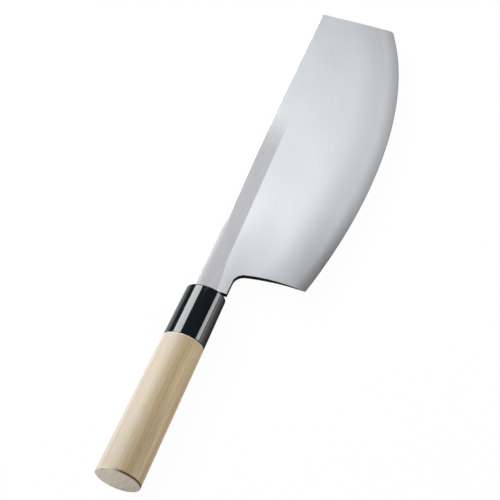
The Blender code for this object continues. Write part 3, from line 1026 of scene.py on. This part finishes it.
# %% Colours through the thickness of the wood
WOOD_HALF = 16.0
RING_TILT = -0.15
CHALK = (0.665, 0.58, 0.47)
CREAM = (0.545, 0.475, 0.39)
BEIGE = (0.53, 0.455, 0.35)
SAND = (0.49, 0.415, 0.305)
WARM = (0.467, 0.357, 0.212)
HEARTWOOD = (0.42, 0.323, 0.172)
HEART_RIM = (0.45, 0.35, 0.20)
HONEY = (0.70, 0.53, 0.322)
OLIVE = (0.63, 0.478, 0.27)
DARK_OLIVE = (0.55, 0.437, 0.257)

magnolia, tree, shader = new_material("magnolia_wood")
place = place_in(tree)
drift = toned(tree, streaks(tree, (20, 100, 20), 2.0), -1.6 * MM, 1.6 * MM)
tilt = product(tree, place["Z"], RING_TILT)
lengthwise = by_place(tree, "Y", 0, 100, 0.9 * MM, -1.0 * MM)
sheets = total(tree, place["X"], drift, tilt, lengthwise)
depth = span(tree, sheets, -WOOD_HALF * MM, WOOD_HALF * MM)
pale_half = ((0.05, CHALK), (0.14, CREAM), (0.27, BEIGE), (0.38, SAND), (0.56, WARM))
dark_half = ((0.65, HEARTWOOD), (0.73, HEART_RIM), (0.84, HONEY), (0.89, OLIVE), (0.945, DARK_OLIVE))
through = ramp(tree, depth, pale_half + dark_half)

# %% Figure, fibres and pores
RING_LEAN = 16.0

figure = streaks(tree, (1.7, 160, 10), 4.0, 1.0, RING_LEAN)
fibres = streaks(tree, (0.4, 30, 0.6), 4.0)
pores = streaks(tree, (0.4, 7, 0.6), 2.0)
contrast = product(tree, toned(tree, figure, -1, 1), span(tree, depth, 0.35, 0.75, 0.05, 0.17))
figure_tone = total(tree, contrast, 1.0)
pore_tone = span(tree, pores, 0.5, 0.72, 1.02, 0.90)
# The wood is a little darker towards the butt.
darker_to_butt = by_place(tree, "Y", 0, 60, 0.93, 1.0, smooth=True)
marks = product(tree, toned(tree, fibres, 0.95, 1.05), pore_tone, darker_to_butt)
grained = mix_colours(tree, 1.0, through, product(tree, figure_tone, marks), "MULTIPLY")

# %% End grain and rims
BUTT_LEAN = 23.0
END_DARK, END_PALE = (0.42, 0.372, 0.30), (0.66, 0.60, 0.50)
END_BY_EDGE, END_SHARE = (0.50, 0.43, 0.33), 0.6
# The colour of the painted highlights on the butt's rim and before the ferrule.
PAINTED_HIGHLIGHT = (0.74, 0.68, 0.58)
# The colour of the dark line on the butt's rim.
DARK_LINE = (0.045, 0.024, 0.006)
WOOD_ROUGH = (0.50, 0.62)
WOOD_RELIEF = 0.03

rings = streaks(tree, (0.7, 50, 12), 3.0, 0.0, BUTT_LEAN)
end_grain = mix_colours(tree, toned(tree, rings), END_DARK, END_PALE)
towards_edge = product(tree, by_place(tree, "X", -6, 13), END_SHARE)
end_grain = mix_colours(tree, towards_edge, end_grain, END_BY_EDGE)
surface = mix_colours(tree, by_place(tree, "Y", 0.1, 0.6, 1, 0), grained, end_grain)
# Painted highlights on the last millimetre before the ferrule and on the butt's rim on the spine's side.
front_highlight = by_place(tree, "Y", WOOD_LENGTH - 0.9, WOOD_LENGTH - 0.3, 0, 0.7)
rim = band(tree, "Y", (0.2, 0.5), (0.9, 1.4))
rim_highlight = product(tree, rim, by_place(tree, "X", -8, 0, 0.6, 0))
surface = mix_colours(tree, total(tree, front_highlight, rim_highlight), surface, PAINTED_HIGHLIGHT)
# A dark line along the butt's rim on the edge's side.
dark_line_band = band(tree, "Y", (0.3, 0.6), (1.4, 2.2))
dark_line = product(tree, dark_line_band, by_place(tree, "X", -3, 3, 0, 0.95))
surface = mix_colours(tree, dark_line, surface, DARK_LINE)
give_finish(tree, shader, surface, toned(tree, fibres, *WOOD_ROUGH), fibres, WOOD_RELIEF)

# %% [markdown]
# ## Horn and resin
#
# Polished buffalo horn is nearly black and very glossy. Close to, long fibres run through it, a shade browner
# than the rest, and the polish is never quite even. The resin is dark, lumpy and only half glossy.

# %% Black horn
HORN_BLACK, HORN_FIBRE = (0.005, 0.008, 0.011), (0.009, 0.011, 0.013)
HORN_ROUGH = (0.05, 0.08)
HORN_RELIEF = 0.002

horn, tree, shader = new_material("black_horn", IOR=1.5)
fibres = streaks(tree, (0.9, 20, 0.9))
colour = mix_colours(tree, span(tree, fibres, 0.45, 0.75), HORN_BLACK, HORN_FIBRE)
give_finish(tree, shader, colour, toned(tree, fibres, *HORN_ROUGH), fibres, HORN_RELIEF)

# %% Dark resin
RESIN_DARK, RESIN_PALE = (0.020, 0.012, 0.008), (0.055, 0.035, 0.022)
RESIN_ROUGH = (0.25, 0.4)
RESIN_RELIEF = 0.1

resin, tree, shader = new_material("dark_resin", IOR=1.5)
lumps = streaks(tree, (2, 2, 2))
colour = mix_colours(tree, lumps, RESIN_DARK, RESIN_PALE)
give_finish(tree, shader, colour, toned(tree, lumps, *RESIN_ROUGH), lumps, RESIN_RELIEF)

# %% [markdown]
# ## Put the finishes on and fix each piece to the knife
#
# Each fine piece stands for one solid of the model, is given its finishes, and rides on the knife's only
# body. Blender shows the first finish on the faces and, on the steel, the second on the walls.

# %% Finishes, slots and the solids they stand for
dressed = (
    (right_plate, "right_cladding", "soft_iron", (satin, filed)),
    (left_plate, "left_cladding", "soft_iron", (satin, filed)),
    (core, "blade_core", "core_steel", (hard, filed)),
    (wood, "handle", "magnolia_wood", (magnolia,)),
    (ferrule, "ferrule", "black_horn", (horn,)),
    (plug, "slot_plug", "dark_resin", (resin,)),
)
for piece, node, slot, finishes in dressed:
    for material in finishes:
        piece.data.materials.append(material)
    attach(piece, "root")
    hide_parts(node)
    print(f"{piece.name} stands for {node} and is finished as {slot}")

# %% [markdown]
# ## A pale table
#
# The knife lies on its handle. The table is nearly white in itself and most of its paleness comes from a
# weak glow that only the camera and reflections see, so it stays white without throwing light on the knife,
# and a trace of the knife's own soft shadow is still there. Reflections see a glow with a painted shadow in
# it: steel and horn mirror it bright on the spine's side, dark close to the knife on the edge's side, where
# the painted shadow stands in for the knife's own, and bright again further out.

# %% The table
TABLE_HALF = 3.0
TABLE_GAP = 0.02

table_z = cad_box[0].z - TABLE_GAP * MM
corners = [(x * TABLE_HALF, y * TABLE_HALF, table_z) for x, y in ((-1, -1), (1, -1), (1, 1), (-1, 1))]
table = new_piece("table", corners, [(0, 1, 2, 3)])
print(f"the table lies {-table_z / MM:.2f} mm below the knife's middle plane")

# %% Its white paper
WHITE = (1.0, 1.0, 1.0, 1.0)
PAPER = (0.9, 0.9, 0.9, 1.0)
GLOW_SHARE = 0.97

paper = bpy.data.materials.new("white_paper")
paper.use_nodes = True
tree = paper.node_tree
tree.nodes.clear()
seen = add(tree, "LightPath")
looked_at = total(tree, seen["Is Camera Ray"], seen["Is Transmission Ray"])
direct = product(tree, looked_at, GLOW_SHARE)
# Painted shadow that only reflections see: the glow is dark just beside the knife on the edge's side and
# bright on either side of that.
spine_side = by_place(tree, "X", -20, 10, 1.0, 0.12, smooth=True)
edge_side = by_place(tree, "X", 18, 75, 0.0, 0.88, smooth=True)
glow_with_painted_shadow = total(tree, spine_side, edge_side)
paper_lit = add(tree, "BsdfDiffuse", {"Color": PAPER})[0]
paper_glow = add(tree, "Emission", {"Color": WHITE, "Strength": 1.0})[0]
paper_with_painted_shadow = add(tree, "Emission", {"Color": WHITE, "Strength": glow_with_painted_shadow})[0]
unseen = add(tree, "MixShader", {0: seen["Is Glossy Ray"], 1: paper_lit, 2: paper_with_painted_shadow})[0]
mixed = add(tree, "MixShader", {0: direct, 1: unseen, 2: paper_glow})[0]
add(tree, "OutputMaterial", {"Surface": mixed})
table.data.materials.append(paper)

# %% [markdown]
# ## Studio light
#
# Steel and horn have hardly any colour of their own: they show the room. A photographer lights a blade with
# one large soft box at its far end and leaves the rest of that end dark, so the steel shines where it faces
# the box and darkens where it turns away. Two smaller boxes on the edge's side draw bright lines on the horn,
# and a faint panel lifts the steel at the far end. The near end of the room is pale, which lights the wood
# and its butt, and all round the floor the room is white, so that the floor has no horizon.

# %% The room
NEAR_WALLS = (0.92, 0.925, 0.94)
FAR_WALLS = (0.06, 0.064, 0.07)

world = bpy.data.worlds.new("studio")
bpy.context.scene.world = world
world.use_nodes = True
tree = world.node_tree
tree.nodes.clear()
towards = place_in(tree, "Generated")
far_share = span(tree, towards["Y"], -0.50, 0.10, smooth=True)
walls = mix_colours(tree, far_share, NEAR_WALLS, FAR_WALLS)
above_floor = span(tree, towards["Z"], 0.0, 0.05, smooth=True)
room = mix_colours(tree, above_floor, WHITE[:3], walls)
background = mix_colours(tree, add(tree, "LightPath")["Is Camera Ray"], room, WHITE[:3])
light = add(tree, "Background", {"Color": background, "Strength": 1.0})[0]
add(tree, "OutputWorld", {"Surface": light})

# %% The lamps
LIT_PLACE = Vector((0.0, 0.13, 0.0))


def soft_box(name, across, up, distance, width, height, brightness, oval=False):
    """A flat lamp facing the knife, this many degrees across to the spine and up to the blade's end."""
    side, rise = math.radians(across), math.radians(up)
    aim = Vector((-math.sin(side) * math.cos(rise), math.sin(rise), math.cos(side) * math.cos(rise)))
    level = Vector((0, 1, 0)).cross(aim).normalized()
    lamp = bpy.data.lights.new(name, "AREA")
    lamp.shape = "ELLIPSE" if oval else "RECTANGLE"
    lamp.size, lamp.size_y = width, height
    area = width * height * (math.pi / 4 if oval else 1)
    lamp.energy = brightness * math.pi * area
    box = new_object(name, lamp)
    place = Matrix((level, aim.cross(level), aim)).transposed().to_4x4()
    place.translation = LIT_PLACE + aim * distance
    box.matrix_world = place
    box.visible_camera = False
    print(f"{name}: {width} by {height} m, {lamp.energy:.1f} W")


soft_box("key_box", 43.4, 24.85, distance=1.668, width=0.925, height=1.222, brightness=11.26, oval=True)
soft_box("side_box", -59.5, 33.0, distance=1.6, width=0.47, height=0.34, brightness=8.2)
soft_box("low_box", -81.0, 33.0, distance=1.6, width=0.70, height=0.20, brightness=2.3)
soft_box("far_panel", 8.1, 43.5, distance=1.6, width=0.30, height=0.53, brightness=1.22)

# %% [markdown]
# ## The camera
#
# The camera looks down on the knife from above the butt end, a little turned and rolled, through a long lens
# from about 0.9 m away, so that the handle comes towards the viewer and the blade runs off to the top.

# %% Place the camera
LENS = 108.0
SENSOR_WIDTH = 36.0
NEAREST = 0.05
VIEWPOINT = (0.23582, -0.35628, 0.79522)
TURNS = (34.268, 12.983, 16.355)

camera_data = bpy.data.cameras.new("camera")
camera_data.lens = LENS
camera_data.sensor_width = SENSOR_WIDTH
camera_data.clip_start = NEAREST
camera = new_object("camera", camera_data)
camera.location = VIEWPOINT
camera.rotation_euler = Euler([math.radians(turn) for turn in TURNS], "ZYX")
camera.rotation_mode = "ZYX"
bpy.context.scene.camera = camera
bpy.context.scene.view_settings.view_transform = "Standard"
print(f"the camera has a {LENS:.0f} mm lens and is {camera.location.length:.2f} m from the butt")
